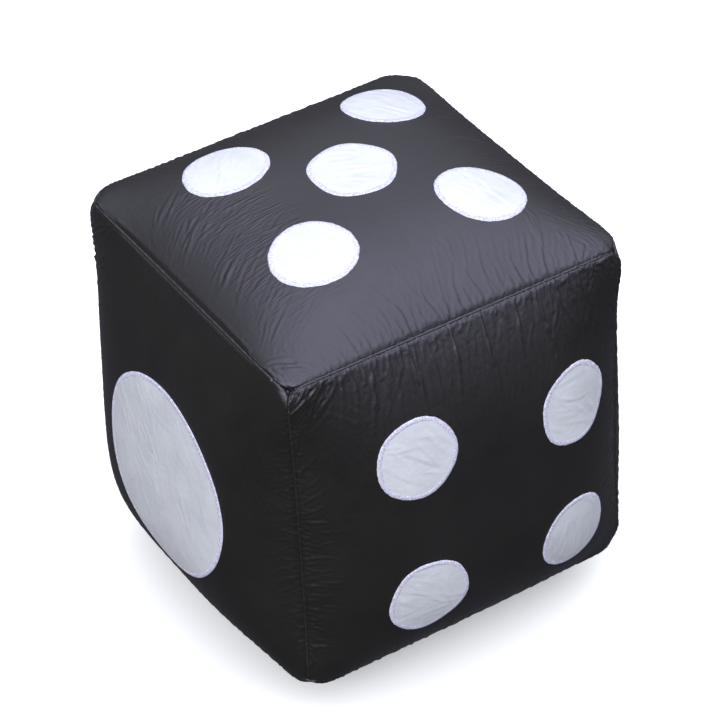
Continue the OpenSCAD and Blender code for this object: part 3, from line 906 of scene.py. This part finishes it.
def pip_piece(cover, face, name, x, y, r, material, rng):
    """A disc of white cloth on its panel: a fan of triangles in its middle and rings of quads round it."""
    sides, wrinkle_count = (192, 60) if r > PIP_R else (96, 22)
    rings = int(r / RING_STEP)
    angle = np.linspace(0, 2 * math.pi, sides, endpoint=False)
    radius = np.linspace(0, 1, rings + 1)[1:, None] * (r + wobble(angle, rng, RIM_STRAY, RIM_WAVES))[None]
    px = np.concatenate([[x], (x + radius * np.cos(angle)).ravel()])
    py = np.concatenate([[y], (y + radius * np.sin(angle)).ravel()])
    lift = PIP_LIFT + wrinkles(px, py, x, y, r, wrinkle_count, rng)
    points = cover.lay(face, px, py, np.maximum(lift, PIP_LIFT_MIN))
    turn = np.arange(sides)
    fan = np.stack([0 * turn, 1 + turn, 1 + (turn + 1) % sides], -1)
    quads = grid_quads(rings, sides, wrap=True) + 1
    mesh = bpy.data.meshes.new(name)
    mesh.from_pydata(points.tolist(), [], fan.tolist() + quads.tolist())
    cloth = np.stack([px, py, np.full_like(px, 0.3 + 0.05 * FACE_NAMES.index(face))], -1)
    return dressed(mesh, material, {"cloth": cloth})


STITCH_PITCH = 0.0016    # one bundle of threads, along the rim
STITCH_POINTS = 4        # grid points along the rim in a bundle
STITCH_LIFT, STITCH_H = 0.0004, 0.0013
STITCH_WAVES = (13, 23, 37)


def stitch_ring(cover, face, x, y, r, rng):
    """Points, faces and ring coordinates of one satin-stitched border: a low dome of thread bundles."""
    bundles = int(round(2 * math.pi * r / STITCH_PITCH))
    sides = bundles * STITCH_POINTS
    angle = np.linspace(0, 2 * math.pi, sides, endpoint=False)
    rim = wobble(angle, rng, RIM_STRAY, RIM_WAVES)
    across = np.linspace(-1, 1, 9)[:, None]
    bundle = 0.5 + 0.5 * np.cos(angle * bundles)
    edge = 0.5 + 0.5 * np.cos(angle * bundles + 0.7)
    strength = np.repeat(rng.uniform(0.6, 1.0, bundles), STITCH_POINTS)
    width = STITCH_W / 2 * (1 + 0.08 * edge * strength + 0.07 * wobble(angle, rng, 1, STITCH_WAVES))
    radius = r + rim + across * width
    dome = np.sqrt(np.maximum(0, 1 - across ** 2))
    height = STITCH_LIFT + STITCH_H * dome * (0.82 + 0.18 * bundle * strength)
    px, py = x + radius * np.cos(angle), y + radius * np.sin(angle)
    points = cover.lay(face, px, py, height)
    ring = np.stack([np.broadcast_to(angle * r, px.shape), across * width, 0 * px], -1)
    return points.reshape(-1, 3), grid_quads(len(across), sides, wrap=True), ring.reshape(-1, 3)


def pips(cover, white, thread):
    """Every pip, and the stitching round the pips of each face as one piece."""
    rng = np.random.default_rng(SEED + 2)
    for face, spots in PATTERNS.items():
        r = BIG_PIP_R if face == "one" else PIP_R
        parts, rings = [], []
        for i, (x, y) in enumerate(spots):
            node = "pip_one" if face == "one" else f"pip_{face}_{i + 1}"
            seed = int(rng.integers(1 << 30))
            disc = pip_piece(cover, face, f"{node}_cloth", x, y, r, white, np.random.default_rng(seed))
            ride_cover(disc, node)
            points, quads, ring = stitch_ring(cover, face, x, y, r, np.random.default_rng(seed))
            parts.append((points, quads))
            rings.append(ring)
        piece = mesh_piece(f"satin_{face}", *joined(parts), thread, {"ring": np.concatenate(rings)})
        ride_cover(piece, f"stitching_{face}")


# ---------------------------------------------------------------- seams

# Each seam: the face that its fold leans towards, and the side of that face that it is on
SEAMS = {
    "seam_top_front": ("four", "v+"), "seam_top_back": ("three", "v+"),
    "seam_top_left": ("one", "v+"), "seam_top_right": ("six", "v+"),
    "seam_bottom_front": ("four", "v-"), "seam_bottom_back": ("three", "v-"),
    "seam_bottom_left": ("one", "v-"), "seam_bottom_right": ("six", "v-"),
    "seam_front_left": ("four", "u-"), "seam_front_right": ("four", "u+"),
    "seam_back_left": ("three", "u+"), "seam_back_right": ("six", "u+"),
}


SEAM_SIDES = 10
SEAM_RISE, SEAM_LEAN = 0.0006, 0.0010
END_SKIP = 5             # grid points without a ridge at each end of a seam
SIDE_STEP = 3            # grid points from the seam that show which way its face lies


def seam_tube(line, out, side, rng):
    """A folded ridge along a line of points: a flattened tube of varying thickness that leans to one side."""
    place = np.arange(len(line))
    swell = 1 + 0.12 * np.cos(place * 0.9 + rng.uniform(0, 6))
    swell += 0.10 * np.cos(place * 0.37 + rng.uniform(0, 6))
    fade = np.minimum(1, np.minimum(place, len(line) - 1 - place) / 6 + 0.25)
    turn = np.linspace(0, 2 * math.pi, SEAM_SIDES, endpoint=False)[None, :, None]
    out, side = out[:, None], side[:, None]
    wide, tall = SEAM_R * 1.15, SEAM_R * 0.95
    ring = np.cos(turn) * side * wide + np.sin(turn) * out * tall
    points = line[:, None] + ring * (swell * fade)[:, None, None] + SEAM_RISE * out + SEAM_LEAN * side
    return points.reshape(-1, 3), grid_quads(len(line), SEAM_SIDES, wrap=True)


def seams(cover, material):
    """A ridge on each of the cube's edges, with a gap where the zipper is."""
    rng = np.random.default_rng(SEED + 3)
    n = cover.n
    for node, (face, side) in SEAMS.items():
        k = FACE_NAMES.index(face)
        view = side_view(cover.points[k], side)
        line, out = view[:, 0], side_view(cover.normals[k], side)[:, 0]
        towards = view[:, SIDE_STEP] - line
        towards -= (towards * out).sum(-1, keepdims=True) * out
        towards /= np.linalg.norm(towards, axis=1, keepdims=True)
        runs = [(END_SKIP, n - END_SKIP)]
        if node == "seam_back_right":
            height = line[:, 2] - CENTRE_Z
            below = int(np.argmax(height > -ZIP_LEN / 2 - 0.001))
            above = int(np.argmax(height > ZIP_LEN / 2 + 0.001))
            runs = [(END_SKIP, below), (above, n - END_SKIP)]
        points, quads = joined([seam_tube(line[a:b], out[a:b], towards[a:b], rng) for a, b in runs])
        x, y, z = points.T
        cloth = np.stack([x + z, y - z, 0 * x], -1)
        piece = mesh_piece(f"ridge_{node}", points, quads, material, {"cloth": cloth})
        ride_cover(piece, node)


# ---------------------------------------------------------------- zipper, bladder and valve from the CAD

def paint(node, material):
    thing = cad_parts[node]
    thing.data.materials.clear()
    thing.data.materials.append(material)


def hard_parts():
    """Gives the nodes that stay as the CAD has them their materials."""
    tape, coil, metal, film = tape_nylon(), coil_nylon(), enamelled_metal(), pvc_film()
    for node in ("zipper_tape_left", "zipper_tape_right"):
        paint(node, tape)
    for node in ("zipper_coil_left", "zipper_coil_right"):
        paint(node, coil)
    for node in ("zipper_stops", "zipper_slider", "zipper_pull"):
        paint(node, metal)
    for node in ("bladder", "valve_flange", "valve_stem", "valve_cap", "valve_hinge_strap", "valve_flap"):
        paint(node, film)


# ---------------------------------------------------------------- build

camera()
studio()
cover = Cover()
black = black_nylon()
for face in FACES:
    panel = panel_piece(cover, face, black)
pips(cover, white_nylon(), satin_thread())
# The seam ridges' nylon is half as light again: a painted sheen along the seams.
seams(cover, black_nylon("seam_nylon_painted_sheen", 1.5))
hard_parts()
